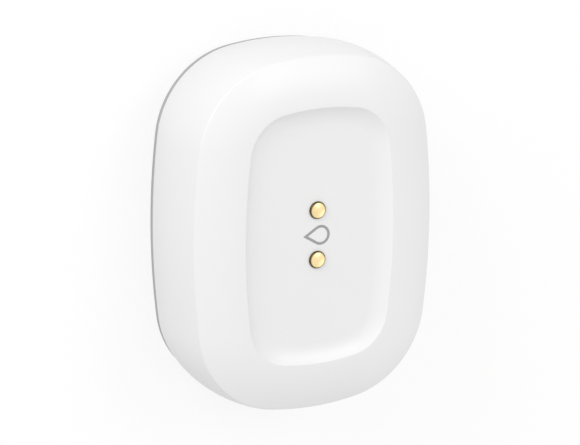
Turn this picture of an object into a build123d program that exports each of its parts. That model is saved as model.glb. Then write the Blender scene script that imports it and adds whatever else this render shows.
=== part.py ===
from build123d import *
import math
import os

# Water leak sensor: a pebble-shaped housing that lies flat on the floor.
# Millimetres, +Z up, origin on the floor under the middle of the housing.
# +Y runs along the housing and +X across it, towards the cell.

# Lithium cell: the housing is built closely around it
cell_radius = 7.8
cell_length = 27.0
cell_edge = 0.6
sleeve_thickness = 0.15
cap_radius = 2.9
cap_height = 0.9
insulator_radius = 5.6
insulator_height = 0.3

# Room around the cell
cell_gap = 0.2
cell_headroom = 0.15
cell_side_room = 2.18
board_room = 19.38
end_room = 9.26
spring_room = 2.1
contact_gap = 0.1

# Outline of the upper housing's foot: tangent arcs
side_bow = 109.16
end_bow = 41.06
corner_radius = 13.32

# Upper housing: bowed wall, ridge, crown and drip dish
seam_height = 3.75
wall_bulge = 0.72
ridge_setback = 0.06
ridge_round = 0.45
crown_rise = 1.77
crown_width = 6.96
crown_bulge = 0.36
dish_depth = 0.85
dish_wall_width = 2.75
dish_floor = 1.1
skirt_wall = 1.15
crown_wall = 1.5
wall_rib = 0.8
wall_rib_depth = 1.3
wall_rib_foot = 4.8
wall_rib_spacing = 9.0

# Lower housing: rounded underside, flange and spigot
flange_height = 3.0
flange_setback = 0.5
underside_setback = 3.35
underside_bulge = 0.28
base_floor = 1.1
seal_gap = 0.05
seal_setback = 0.1
spigot_gap = 0.15
spigot_wall = 1.15
spigot_height = 4.2
notch_width = 7.0
notch_depth = 1.0
notch_height = 1.1
tray_rib = 0.8
tray_rib_height = 1.0
tray_rib_spacing = 6.0
tray_rib_half_length = 13.0

# Water contacts: two in the drip dish and four in the underside
contact_head_radius = 1.25
contact_head_height = 0.3
contact_lip = 0.3
contact_shoulder = 0.22
contact_stem_radius = 0.8
contact_hole_gap = 0.08
drip_contact_y = 3.5
drip_stem_length = 2.6
probe_angle = 57
probe_setback = 5.16
probe_stem_length = 2.9
probe_boss_radius = 2.0
probe_boss_height = 1.1
probe_dimple_gap = 0.3
ring_seal_radius = 1.45
ring_seal_height = 0.6
clip_radius = 1.6
clip_thickness = 0.25

# Cell cradle, battery contacts and leaf spring
cradle_wall = 1.2
cradle_side = 0.4
cradle_height = 5.0
cradle_post_height = 12.5
cradle_post_half_width = 4.4
strip_thickness = 0.3
strip_width = 5.0
strip_foot = 1.2
leaf_thickness = 0.25
leaf_width = 4.0
leaf_half_height = 3.4

# Circuit board and its screws
board_setback = 3.16
board_thickness = 0.8
board_height = 5.4
board_slot_gap = 0.4
board_cell_gap = 1.0
boss_radius = 1.7
screw_radius = 0.6
screw_length = 3.4
screw_head_radius = 1.35
screw_head_height = 0.9
screw_slot = 0.35
side_screw_setback = 5.98
side_screw_y = 10.5
end_screw_setback = 5.66
end_screw_x = 2.6

# Spring fingers under the board and spring arms above it
finger_thickness = 0.15
finger_width = 1.2
finger_foot = 2.1
finger_bend = 0.5
finger_reach = 0.85
arm_thickness = 0.2
arm_width = 1.6
arm_foot = 2.0
arm_slope = 1.2
arm_overlap = 0.5

# Parts on the board; x is measured from the board's straight side, and the second
# number of the places of the antenna, the sense chip and the thermometer from the
# nearer end of the housing
can_size = (7.8, 11.0, 1.9)
can_place = (5.82, 2.0)
can_sheet = 0.2
can_arm_gap = 0.5
radio_size = (5.0, 5.0, 0.9)
switch_size = (5.2, 5.2, 1.5)
switch_place = (6.82, -8.4)
switch_cover_sheet = 0.2
button_radius = 1.2
button_height = 2.4
button_flange_radius = 1.7
button_flange_height = 0.4
button_travel = 0.25
button_gap = 0.1
led_size = (0.8, 1.6, 0.35)
led_place = (13.42, 0.0)
led_lens_height = 0.35
led_lens_taper = 10
chips = [
    ("crystal", (3.02, -5.8), (2.0, 3.2, 0.8)),
    ("supply_capacitor", (13.02, -12.6), (2.8, 3.5, 1.9)),
    ("voltage_regulator", (8.02, -14.0), (2.9, 1.6, 1.1)),
]
antenna_size = (7.0, 2.0, 1.2)
antenna_place = (10.82, 5.36)
sense_size = (3.9, 4.9, 1.4)
sense_place = (8.22, 11.96)
thermometer_size = (2.0, 2.0, 0.7)
thermometer_place = (11.02, 5.96)

os.makedirs("parts", exist_ok=True)


def keep(piece, name):
    piece.label = name
    export_step(piece, f"parts/{name}.step")


# The cell sets the size of the housing
cradle_half_length = (cell_length + spring_room + contact_gap) / 2 + strip_thickness
cradle_end = cradle_half_length + cradle_wall
half_length = cradle_end + end_room
half_width = (board_room + 2 * cell_radius + cell_side_room) / 2
cell_x = half_width - cell_side_room - cell_radius
cell_level = base_floor + cell_gap + cell_radius
cell_high = cradle_half_length - strip_thickness - contact_gap
cell_low = cell_high - cell_length
dish_under = cell_level + cell_radius + cell_headroom
dish_level = dish_under + dish_floor
total_height = dish_level + dish_depth
ridge_level = total_height - crown_rise


def outline(inset=0.0):
    """The rounded outline of the housing, moved inwards by inset."""
    with BuildSketch(mode=Mode.PRIVATE) as shape:
        with Locations((half_width - side_bow, 0)):
            Circle(side_bow - inset)
        with Locations((side_bow - half_width, 0)):
            Circle(side_bow - inset, mode=Mode.INTERSECT)
        with Locations((0, half_length - end_bow)):
            Circle(end_bow - inset, mode=Mode.INTERSECT)
        with Locations((0, end_bow - half_length)):
            Circle(end_bow - inset, mode=Mode.INTERSECT)
        fillet(shape.vertices(), corner_radius - inset)
    return shape.sketch


# The outline is the path that the edge profiles follow. In a profile's plane,
# x points out of the housing from the outline and y points up.
seam = outline().faces()[0].outer_wire()
seam_run = seam % 0
edge_plane = Plane(
    origin=seam @ 0,
    x_dir=seam_run.cross(Vector(0, 0, 1)),
    z_dir=seam_run * -1,
)


# Upper housing: bowed wall, crown and sunken drip dish in one moulded shell
dish_inset = crown_width + ridge_setback + dish_wall_width
rim_inset = crown_width + ridge_setback
ridge_point = (-ridge_setback, ridge_level)
rim_point = (-rim_inset, total_height)
dish_point = (-dish_inset, dish_level)
wall_middle = (wall_bulge - ridge_setback / 2, (seam_height + ridge_level) / 2)
inner_corner = (-skirt_wall, ridge_level - crown_wall)
inner_foot = (-skirt_wall, seam_height)
rib_top = ridge_level - crown_wall / 2

with BuildPart() as upper_housing:
    with BuildSketch(edge_plane) as shell_profile:
        with BuildLine():
            ThreePointArc((0, seam_height), wall_middle, ridge_point)
            SagittaArc(ridge_point, rim_point, -crown_bulge)
            TangentArc(dish_point, rim_point, tangent=(1, 0))
            Polyline(
                dish_point,
                (-dish_inset, dish_under),
                (-rim_inset, dish_under),
                inner_corner,
                inner_foot,
                (0, seam_height),
            )
        make_face()
        fillet(shell_profile.vertices().sort_by_distance(ridge_point)[0], ridge_round)
    sweep(path=seam)
    with BuildSketch(Plane.XY.offset(dish_under)):
        add(outline(dish_inset))
    extrude(amount=dish_floor)
    with BuildSketch(Plane.XY.offset(wall_rib_foot)):
        with GridLocations(0, wall_rib_spacing, 1, 4):
            Rectangle(half_width, wall_rib, align=(Align.MAX, Align.CENTER))
        with GridLocations(wall_rib_spacing, 0, 3, 1):
            Rectangle(wall_rib, 2 * half_length)
        add(outline(skirt_wall), mode=Mode.INTERSECT)
        add(outline(skirt_wall + wall_rib_depth), mode=Mode.SUBTRACT)
    extrude(amount=rib_top - wall_rib_foot)
    with Locations((0, drip_contact_y, dish_level), (0, -drip_contact_y, dish_level)):
        Hole(contact_stem_radius + contact_hole_gap, depth=dish_floor)
keep(upper_housing.part, "upper_housing")


# Lower housing: tray with a rounded underside and a spigot inside the seam
flange_point = (-flange_setback, flange_height)
foot_point = (-underside_setback, 0)
spigot_outer = skirt_wall + spigot_gap
spigot_inner = spigot_outer + spigot_wall
board_top = board_height + board_thickness
screw_places = [
    (side_screw_setback - half_width, side_screw_y),
    (side_screw_setback - half_width, -side_screw_y),
    (end_screw_x, half_length - end_screw_setback),
    (end_screw_x, end_screw_setback - half_length),
]

# Each floor probe stands at the same distance from its corner's arc
corner_arc = outline().edges().filter_by(lambda edge: edge.radius < end_bow / 2)[0]
corner_x = abs(corner_arc.arc_center.X)
corner_y = abs(corner_arc.arc_center.Y)
probe_reach = corner_radius - probe_setback
probe_x = corner_x + probe_reach * math.cos(math.radians(probe_angle))
probe_y = corner_y + probe_reach * math.sin(math.radians(probe_angle))
probe_places = [(sx * probe_x, sy * probe_y) for sx, sy in [(1, 1), (-1, 1), (-1, -1), (1, -1)]]
probe_seat_height = contact_head_height + contact_lip
probe_boss_top = base_floor + probe_boss_height

with BuildPart() as lower_housing:
    with BuildSketch(edge_plane):
        with BuildLine():
            SagittaArc(foot_point, flange_point, -underside_bulge)
            Polyline(
                flange_point,
                (-spigot_outer, flange_height),
                (-spigot_outer, spigot_height),
                (-spigot_inner, spigot_height),
                (-spigot_inner, base_floor),
                (-underside_setback, base_floor),
                foot_point,
            )
        make_face()
    sweep(path=seam)
    with BuildSketch():
        add(outline(underside_setback))
    extrude(amount=base_floor)
    with BuildSketch(Plane.XY.offset(base_floor)):
        with Locations((-half_width / 2, 0)):
            with GridLocations(tray_rib_spacing, 0, 3, 1):
                Rectangle(tray_rib, 2 * tray_rib_half_length)
            with GridLocations(0, tray_rib_spacing, 1, 4):
                Rectangle(2 * tray_rib_spacing, tray_rib)
    extrude(amount=tray_rib_height)
    with BuildSketch(Plane.XY.offset(base_floor)):
        with Locations(*screw_places):
            Circle(boss_radius)
    extrude(amount=board_height - base_floor)
    with BuildSketch(Plane.XY.offset(base_floor)):
        with Locations(*probe_places):
            Circle(probe_boss_radius)
    extrude(amount=probe_boss_height)
    with BuildSketch():
        with Locations(*probe_places):
            Circle(contact_head_radius + probe_dimple_gap)
    extrude(amount=probe_seat_height, mode=Mode.SUBTRACT)
    with BuildSketch():
        with Locations(*probe_places):
            Circle(contact_stem_radius + contact_hole_gap)
    extrude(amount=probe_boss_top, mode=Mode.SUBTRACT)
    with BuildSketch(Plane.XY.offset(board_height)):
        with Locations(*screw_places):
            Circle(screw_radius)
    extrude(amount=-screw_length, mode=Mode.SUBTRACT)
    with BuildSketch(Plane.XY.offset(flange_height)):
        with Locations((0, -half_length)):
            Rectangle(notch_width, 2 * (flange_setback + notch_depth))
    extrude(amount=-notch_height, mode=Mode.SUBTRACT)
keep(lower_housing.part, "lower_housing")


# Soft grey seal ring clamped between the two housings
with BuildPart() as housing_seal:
    with BuildSketch(Plane.XY.offset(flange_height)):
        add(outline(seal_setback))
        add(outline(spigot_outer), mode=Mode.SUBTRACT)
    extrude(amount=seam_height - seal_gap - flange_height)
keep(housing_seal.part, "housing_seal")


# Gilt water contacts: domed head, stem, ring seal and push-on clip.
# A contact points up from its seat, and a floor probe is the same turned over.
def make_contact(seat, stem_length):
    dome_top = (0, contact_lip + contact_head_height)
    dome_edge = (contact_head_radius, contact_lip)
    with BuildPart() as contact:
        with BuildSketch(Plane(seat.origin, seat.x_dir, seat.y_dir * -1)) as section:
            with BuildLine():
                TangentArc(dome_top, dome_edge, tangent=(1, 0))
                Polyline(
                    dome_edge,
                    (contact_head_radius, 0),
                    (contact_stem_radius, 0),
                    (contact_stem_radius, -stem_length),
                    (0, -stem_length),
                    dome_top,
                )
            make_face()
            fillet(section.vertices().sort_by(Axis.X)[-2:].sort_by(Axis.Y)[-1], contact_shoulder)
        revolve(axis=Axis(seat.origin, seat.z_dir))
    return contact.part


def make_ring(seat, outer_radius, near, height):
    with BuildPart() as ring:
        with BuildSketch(seat.offset(-near)):
            Circle(outer_radius)
            Circle(contact_stem_radius, mode=Mode.SUBTRACT)
        extrude(amount=-height)
    return ring.part


def keep_contacts(name, seats, stem_length, wall):
    for number, seat in enumerate(seats, start=1):
        contact = make_contact(seat, stem_length)
        seal = make_ring(seat, ring_seal_radius, wall, ring_seal_height)
        clip = make_ring(seat, clip_radius, wall + ring_seal_height, clip_thickness)
        keep(contact, f"{name}_{number}")
        keep(seal, f"{name}_seal_{number}")
        keep(clip, f"{name}_clip_{number}")


drip_seats = [Plane((0, y, dish_level)) for y in (drip_contact_y, -drip_contact_y)]
keep_contacts("drip_contact", drip_seats, drip_stem_length, dish_floor)
probe_seats = [Plane((x, y, probe_seat_height), z_dir=(0, 0, -1)) for x, y in probe_places]
keep_contacts("floor_probe", probe_seats, probe_stem_length, probe_boss_top - probe_seat_height)


# Circuit board: follows the housing and is cut away around the cell
with BuildPart() as circuit_board:
    with BuildSketch(Plane.XY.offset(board_height)):
        add(outline(board_setback))
        with Locations((cell_x - cell_radius - board_cell_gap, 0)):
            Rectangle(
                2 * half_width,
                2 * (cradle_end + board_slot_gap),
                align=(Align.MIN, Align.CENTER),
                mode=Mode.SUBTRACT,
            )
        with Locations(*screw_places):
            Circle(screw_radius + contact_hole_gap, mode=Mode.SUBTRACT)
    extrude(amount=board_thickness)
keep(circuit_board.part, "circuit_board")

# Four pan-head screws that hold the board down on its bosses
with BuildPart() as board_screws:
    with BuildSketch(Plane.XY.offset(board_top)):
        with Locations(*screw_places):
            Circle(screw_head_radius)
    extrude(amount=screw_head_height)
    with BuildSketch(Plane.XY.offset(board_top)):
        with Locations(*screw_places):
            Circle(screw_radius)
    extrude(amount=-screw_length)
    with BuildSketch(Plane.XY.offset(board_top + screw_head_height)):
        with Locations(*screw_places):
            Rectangle(screw_head_radius, screw_slot)
            Rectangle(screw_slot, screw_head_radius)
    extrude(amount=-screw_head_height / 2, mode=Mode.SUBTRACT)
keep(board_screws.part, "board_screws")


# Sprung fingers under the board, one on the end of each floor probe's stem
def make_finger(x, y):
    side = math.copysign(1, x)
    tip = probe_seat_height + probe_stem_length + finger_thickness / 2
    foot = board_height - finger_thickness / 2
    half_foot = finger_foot / 2
    with BuildPart() as finger:
        with BuildSketch(Plane.XZ.offset(-y)):
            with BuildLine():
                bend = Polyline(
                    (x + side * half_foot / 2, foot),
                    (x - side * (half_foot + finger_bend), foot),
                    (x - side * (half_foot + finger_reach), (foot + tip) / 2),
                    (x - side * half_foot / 2, tip),
                    (x + side * half_foot / 2, tip),
                )
            trace(bend, line_width=finger_thickness)
        extrude(amount=finger_width / 2, both=True)
    return finger.part


for number, (x, y) in enumerate(probe_places, start=1):
    keep(make_finger(x, y), f"probe_finger_{number}")


# Tall spring arms from the board to the stems of the drip contacts
board_side = board_setback - half_width
can_x = board_side + can_place[0]
arm_start = can_x + can_size[0] / 2 + can_arm_gap


def make_arm(y):
    foot = board_top + arm_thickness / 2
    tip = dish_level - drip_stem_length - contact_gap - arm_thickness / 2
    riser = arm_start + arm_foot
    with BuildPart() as arm:
        with BuildSketch(Plane.XZ.offset(-y)):
            with BuildLine():
                bend = Polyline(
                    (arm_start, foot),
                    (riser, foot),
                    (riser, tip - arm_slope),
                    (riser + arm_foot, tip),
                    (arm_overlap, tip),
                )
            trace(bend, line_width=arm_thickness)
        extrude(amount=arm_width / 2, both=True)
    return arm.part


keep(make_arm(drip_contact_y), "contact_arm_1")
keep(make_arm(-drip_contact_y), "contact_arm_2")


# Moulded cradle: two end walls joined by the wedges that the cell lies between
with BuildPart() as battery_cradle:
    with BuildSketch(Plane.XY.offset(base_floor)):
        with Locations((cell_x - cell_radius - cradle_side, 0)):
            Rectangle(half_width, 2 * cradle_end, align=(Align.MIN, Align.CENTER))
        add(outline(spigot_inner + contact_gap), mode=Mode.INTERSECT)
    extrude(amount=cradle_height - base_floor)
    with BuildSketch(Plane.XY.offset(base_floor)):
        with Locations((cell_x, cradle_end - cradle_wall / 2), (cell_x, cradle_wall / 2 - cradle_end)):
            Rectangle(2 * cradle_post_half_width, cradle_wall)
    extrude(amount=cradle_post_height - base_floor)
    with BuildSketch(Plane.XZ.offset(cradle_half_length)):
        with Locations((cell_x, cell_level)):
            Circle(cell_radius + cell_gap)
    extrude(amount=-2 * cradle_half_length, mode=Mode.SUBTRACT)
keep(battery_cradle.part, "battery_cradle")


# Battery contacts: one bent strip hooked over each end wall of the cradle
def make_strip(end):
    near = cradle_half_length - strip_thickness / 2
    far = cradle_end + strip_thickness / 2
    crest = cradle_post_height + strip_thickness / 2
    foot = board_top + strip_thickness / 2
    with BuildPart() as strip:
        with BuildSketch(Plane.YZ.offset(cell_x)):
            with BuildLine():
                bend = Polyline(
                    (end * near, cradle_height + contact_gap),
                    (end * near, crest),
                    (end * far, crest),
                    (end * far, foot),
                    (end * (far + strip_foot), foot),
                )
            trace(bend, line_width=strip_thickness)
        extrude(amount=strip_width / 2, both=True)
    return strip.part


keep(make_strip(1), "plus_contact")
keep(make_strip(-1), "minus_contact")

# Bowed leaf spring between the minus strip and the cell
leaf_seat = -cradle_half_length + strip_thickness + leaf_thickness / 2
leaf_crest = cell_low - contact_gap - leaf_thickness / 2
with BuildPart() as battery_spring:
    with BuildSketch(Plane.YZ.offset(cell_x)):
        with BuildLine():
            bow = ThreePointArc(
                (leaf_seat, cell_level - leaf_half_height),
                (leaf_crest, cell_level),
                (leaf_seat, cell_level + leaf_half_height),
            )
        trace(bow, line_width=leaf_thickness)
    extrude(amount=leaf_width / 2, both=True)
keep(battery_spring.part, "battery_spring")


# Lithium cell: steel can, printed sleeve, insulating ring and plus cap
cell_axis = Plane((cell_x, cell_low, cell_level), z_dir=(0, 1, 0))
can_length = cell_length - cap_height
with BuildPart() as cell_can:
    with BuildSketch(cell_axis):
        Circle(cell_radius - sleeve_thickness)
    extrude(amount=can_length)
    chamfer(cell_can.edges().filter_by(GeomType.CIRCLE), cell_edge)
keep(cell_can.part, "cell_can")

with BuildPart() as cell_sleeve:
    with BuildSketch(cell_axis.offset(cell_edge)):
        Circle(cell_radius)
        Circle(cell_radius - sleeve_thickness, mode=Mode.SUBTRACT)
    extrude(amount=can_length - 2 * cell_edge)
keep(cell_sleeve.part, "cell_sleeve")

with BuildPart() as cell_insulator:
    with BuildSketch(cell_axis.offset(can_length)):
        Circle(insulator_radius)
        Circle(cap_radius, mode=Mode.SUBTRACT)
    extrude(amount=insulator_height)
keep(cell_insulator.part, "cell_insulator")

with BuildPart() as cell_cap:
    with BuildSketch(cell_axis.offset(can_length)):
        Circle(cap_radius)
    extrude(amount=cap_height)
keep(cell_cap.part, "cell_cap")


# Radio chip under a folded metal can
with BuildPart() as radio_chip:
    with BuildSketch(Plane.XY.offset(board_top)):
        with Locations((can_x, can_place[1])):
            Rectangle(radio_size[0], radio_size[1])
    extrude(amount=radio_size[2])
keep(radio_chip.part, "radio_chip")

with BuildPart() as shield_can:
    with BuildSketch(Plane.XY.offset(board_top)):
        with Locations((can_x, can_place[1])):
            Rectangle(can_size[0], can_size[1])
    extrude(amount=can_size[2])
    with BuildSketch(Plane.XY.offset(board_top)):
        with Locations((can_x, can_place[1])):
            Rectangle(can_size[0] - 2 * can_sheet, can_size[1] - 2 * can_sheet)
    extrude(amount=can_size[2] - can_sheet, mode=Mode.SUBTRACT)
keep(shield_can.part, "shield_can")

end_chips = [
    ("chip_antenna", (antenna_place[0], half_length - antenna_place[1]), antenna_size),
    ("sense_chip", (sense_place[0], half_length - sense_place[1]), sense_size),
    ("temperature_sensor", (thermometer_place[0], thermometer_place[1] - half_length), thermometer_size),
]
for name, place, size in chips + end_chips:
    with BuildPart() as chip:
        with BuildSketch(Plane.XY.offset(board_top)):
            with Locations((board_side + place[0], place[1])):
                Rectangle(size[0], size[1])
        extrude(amount=size[2])
    keep(chip.part, name)

# Status light, seen through the white housing when it is lit
with BuildPart() as status_led:
    led_centre = (board_side + led_place[0], led_place[1])
    with BuildSketch(Plane.XY.offset(board_top)):
        with Locations(led_centre):
            Rectangle(led_size[0], led_size[1])
    extrude(amount=led_size[2])
    with BuildSketch(Plane.XY.offset(board_top + led_size[2])):
        with Locations(led_centre):
            Rectangle(led_size[0] - button_gap, led_size[0])
    extrude(amount=led_lens_height, taper=led_lens_taper)
keep(status_led.part, "status_led")


# Push switch for joining the network: body, sprung button and metal cover
switch_centre = (board_side + switch_place[0], switch_place[1])
switch_top = board_top + switch_size[2]
well_depth = button_flange_height + button_travel + 2 * button_gap
with BuildPart() as switch_body:
    with BuildSketch(Plane.XY.offset(board_top)):
        with Locations(switch_centre):
            Rectangle(switch_size[0], switch_size[1])
    extrude(amount=switch_size[2])
    with BuildSketch(Plane.XY.offset(switch_top)):
        with Locations(switch_centre):
            Circle(button_flange_radius + button_gap)
    extrude(amount=-well_depth, mode=Mode.SUBTRACT)
keep(switch_body.part, "switch_body")

with BuildPart() as switch_cover:
    with BuildSketch(Plane.XY.offset(switch_top)):
        with Locations(switch_centre):
            Rectangle(switch_size[0], switch_size[1])
            Circle(button_radius + button_gap, mode=Mode.SUBTRACT)
    extrude(amount=switch_cover_sheet)
keep(switch_cover.part, "switch_cover")

with BuildPart() as connect_button:
    with BuildSketch(Plane.XY.offset(switch_top - button_gap)):
        with Locations(switch_centre):
            Circle(button_flange_radius)
    extrude(amount=-button_flange_height)
    with BuildSketch(Plane.XY.offset(switch_top - button_gap)):
        with Locations(switch_centre):
            Circle(button_radius)
    extrude(amount=button_height)
keep(connect_button.part, "connect_button")
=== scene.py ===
from math import acos, asin, atan2, cos, pi, radians, sin, sqrt, tan

import bmesh
import bpy
from mathutils import Matrix, Vector


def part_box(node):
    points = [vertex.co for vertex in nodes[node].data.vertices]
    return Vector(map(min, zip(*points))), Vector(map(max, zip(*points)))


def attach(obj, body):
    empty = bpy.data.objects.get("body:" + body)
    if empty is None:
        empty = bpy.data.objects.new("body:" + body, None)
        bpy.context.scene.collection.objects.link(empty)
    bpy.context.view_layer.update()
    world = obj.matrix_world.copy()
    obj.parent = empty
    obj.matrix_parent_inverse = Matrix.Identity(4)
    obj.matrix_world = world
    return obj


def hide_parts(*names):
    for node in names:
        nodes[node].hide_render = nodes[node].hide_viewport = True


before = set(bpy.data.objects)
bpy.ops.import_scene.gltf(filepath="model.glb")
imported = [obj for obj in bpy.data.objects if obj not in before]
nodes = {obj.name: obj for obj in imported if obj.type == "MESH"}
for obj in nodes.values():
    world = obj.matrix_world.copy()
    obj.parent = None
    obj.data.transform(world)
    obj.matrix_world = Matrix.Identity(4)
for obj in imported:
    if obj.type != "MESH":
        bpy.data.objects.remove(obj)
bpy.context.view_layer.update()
scene = bpy.context.scene
scene.view_settings.view_transform = "Standard"
mm = 0.001

# Camera: it looks down on the dish from beyond the far left corner of the housing, with a
# long lens. Its place and turn come from fitting the outline and the dish's rim.
camera_yaw = 27.71
camera_pitch = 15.55
camera_roll = -0.38
camera_distance = 434.2 * mm
camera_offset = (3.218 * mm, -1.827 * mm)
camera_level = 3.0 * mm
focal_length = 188.5


def new_object(name, data):
    """An object in the scene that shows the data."""
    thing = bpy.data.objects.new(name, data)
    scene.collection.objects.link(thing)
    return thing


turn = Matrix.Rotation(radians(camera_roll), 3, "Z")
turn = turn @ Matrix.Rotation(radians(camera_pitch), 3, "X")
turn = turn @ Matrix.Rotation(radians(camera_yaw), 3, "Y")
turn.transpose()
camera_data = bpy.data.cameras.new("camera")
camera_data.lens = focal_length
camera = new_object("camera", camera_data)
camera_place = turn @ Vector((*camera_offset, camera_distance))
camera_place.z += camera_level
camera.matrix_world = Matrix.Translation(camera_place) @ turn.to_4x4()
scene.camera = camera

# Floor and light: a plain white sweep under a very soft, bright sky, with a large softbox low
# at the far left of the housing, a weak one overhead, and one low at the near right that shows
# only as a gloss. The floor keeps a faint shadow.
floor_size = 3.0
floor_white = 0.70
floor_roughness = 0.9
floor_lift = 0.30
floor_evening = 0.68
floor_drop = 0.02 * mm
sky_white = (1.0, 1.0, 0.995)
sky_strength = 0.757
softbox_distance = 0.62


def new_material(name):
    """A node material, its tree and its Principled shader."""
    material = bpy.data.materials.new(name)
    material.use_nodes = True
    return material, material.node_tree, material.node_tree.nodes["Principled BSDF"]


def feed(tree, node, feeds):
    """Sets a node's inputs, each to another node's output or to a value, colours without alpha."""
    for label, value in feeds.items():
        socket = node.inputs[label]
        if isinstance(value, bpy.types.NodeSocket):
            tree.links.new(value, socket)
        else:
            socket.default_value = (*value, 1) if socket.type == "RGBA" else value


def added(tree, kind, feeds=None, **settings):
    """The outputs of a new node with the given inputs and settings."""
    node = tree.nodes.new(kind)
    for setting, value in settings.items():
        setattr(node, setting, value)
    feed(tree, node, feeds or {})
    return node.outputs


def worked_out(tree, operation, *values, **settings):
    """The result of one Math node."""
    return added(tree, "ShaderNodeMath", dict(enumerate(values)), operation=operation, **settings)[0]


def seen_directly(tree):
    """1 for camera, glossy and transmission rays, and 0 for the others."""
    path = added(tree, "ShaderNodeLightPath")
    straight = worked_out(tree, "ADD", path["Is Camera Ray"], path["Is Glossy Ray"])
    return worked_out(tree, "ADD", straight, path["Is Transmission Ray"], use_clamp=True)


floor_corners = [(x * floor_size / 2, y * floor_size / 2, -floor_drop)
                 for x, y in ((-1, -1), (1, -1), (1, 1), (-1, 1))]
floor_mesh = bpy.data.meshes.new("floor")
floor_mesh.from_pydata(floor_corners, [], [(0, 1, 2, 3)])
floor = new_object("floor", floor_mesh)
floor_paint, tree, shader = new_material("studio_floor")
feed(tree, shader, {
    "Base Color": (floor_white, floor_white, floor_white),
    "Roughness": floor_roughness,
    "Specular IOR Level": 0.0,
    "Emission Color": (1, 1, 1),
    "Emission Strength": worked_out(tree, "MULTIPLY", seen_directly(tree), floor_lift),
})
floor_seen = added(tree, "ShaderNodeLightPath")["Is Camera Ray"]
floor_mix = added(tree, "ShaderNodeMixShader", {
    0: worked_out(tree, "MULTIPLY", floor_seen, floor_evening),
    1: shader.outputs[0],
    2: added(tree, "ShaderNodeEmission")[0],
})
feed(tree, tree.nodes["Material Output"], {"Surface": floor_mix[0]})
floor_mesh.materials.append(floor_paint)

sky = bpy.data.worlds.new("studio")
scene.world = sky
sky.use_nodes = True
tree = sky.node_tree
sky_level = added(tree, "ShaderNodeMapRange", {
    "Value": seen_directly(tree), "To Min": sky_strength, "To Max": 1.0})
feed(tree, tree.nodes["Background"], {"Color": sky_white, "Strength": sky_level["Result"]})
for name, direction, size, power in (
    ("side_softbox", (-0.69, 0.63, 0.36), 0.42, 1.52),
    ("top_softbox", (0.36, 0.42, 0.84), 0.30, 0.60),
    ("edge_softbox", (0.74, -0.52, 0.42), 0.42, 0.3),
):
    lamp = bpy.data.lights.new(name, "AREA")
    lamp.shape = "DISK"
    lamp.size = size
    lamp.energy = power
    place = Vector(direction).normalized() * softbox_distance
    softbox = new_object(name, lamp)
    softbox.matrix_world = Matrix.Translation(place) @ place.to_track_quat("Z", "Y").to_matrix().to_4x4()
    softbox.visible_diffuse = name != "edge_softbox"

# Upper housing: a white moulded shell. A bowed wall rises to a crisp ridge, a convex crown
# climbs from there to the rim, and a shallow dish that catches water is sunk inside it.
seal_low, seal_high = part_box("housing_seal")
shell_low, shell_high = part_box("upper_housing")
seal_setback = 0.1 * mm
half_width = seal_high.x + seal_setback
half_length = seal_high.y + seal_setback
side_bow = 109.16 * mm
end_bow = 41.06 * mm
corner_radius = 13.32 * mm
seam_lift = 0.2 * mm
seam_height = shell_low.z + seam_lift
total_height = shell_high.z
wall_bulge = 0.72 * mm
ridge_setback = 0.06 * mm
ridge_round = 0.36 * mm
rim_round = 0.16 * mm
crown_rise = 1.77 * mm
crown_width = 6.96 * mm
crown_bulge = 0.36 * mm
dish_depth = 0.95 * mm
dish_wall_width = 2.75 * mm
dish_floor = 1.0 * mm
skirt_wall = 1.15 * mm
crown_wall = 1.5 * mm
seam_edge = 0.12 * mm
wall_rib = 0.8 * mm
wall_rib_depth = 1.3 * mm
wall_rib_foot = 4.8 * mm
wall_rib_spacing = 9.0 * mm
wall_rib_start = 0.5
side_ribs, end_ribs = 4, 3
contact_hole = 0.88 * mm
hole_steps = 64
drip_contact_y = 3.56 * mm
drip_middle_y = 0.09 * mm
side_steps, corner_steps, end_steps = 36, 40, 24
pole_shares = (0.66, 0.33)
bend_clearance = 1.05
merge_distance = 0.0005 * mm


def seam_stations():
    """Points on the housing's outline with the way that faces out there, anticlockwise."""
    side_centre = Vector((half_width - side_bow, 0))
    end_centre = Vector((0, half_length - end_bow))
    side_reach, end_reach = side_bow - corner_radius, end_bow - corner_radius
    gap = end_centre - side_centre
    run = gap.normalized()
    along = (side_reach**2 - end_reach**2 + gap.length_squared) / (2 * gap.length)
    across = sqrt(side_reach**2 - along**2)
    corner = side_centre + run * along + Vector((-run.y, run.x)) * across
    side_turn = atan2(corner.y - side_centre.y, corner.x - side_centre.x)
    end_turn = atan2(corner.y - end_centre.y, corner.x - end_centre.x)
    far_corner = Vector((-corner.x, corner.y))
    arcs = [
        (side_centre, side_bow, -side_turn, side_turn, side_steps),
        (corner, corner_radius, side_turn, end_turn, corner_steps),
        (end_centre, end_bow, end_turn, pi - end_turn, end_steps),
        (far_corner, corner_radius, pi - end_turn, pi - side_turn, corner_steps),
    ]
    arcs += [(-centre, radius, pi + start, pi + stop, steps)
             for centre, radius, start, stop, steps in arcs]
    found = []
    for centre, radius, start, stop, steps in arcs:
        for step in range(steps):
            angle = start + (stop - start) * step / steps
            outward = Vector((cos(angle), sin(angle)))
            found.append((centre + outward * radius, outward))
    return found


def arc_points(start, middle, stop, steps):
    """Points on the arc through three points, both ends included."""
    a, b, c = Vector(start), Vector(middle), Vector(stop)
    ab, ac = b - a, c - a
    cross = 2 * (ab.x * ac.y - ab.y * ac.x)
    centre = a + Vector((
        ac.y * ab.length_squared - ab.y * ac.length_squared,
        ab.x * ac.length_squared - ac.x * ab.length_squared,
    )) / cross
    spoke = a - centre
    first = atan2(spoke.y, spoke.x)

    def swing(point):
        return (atan2(point.y - centre.y, point.x - centre.x) - first) % (2 * pi)

    sweep = swing(c) if swing(b) < swing(c) else swing(c) - 2 * pi
    return [centre + Matrix.Rotation(sweep * step / steps, 2) @ spoke for step in range(steps + 1)]


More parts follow.
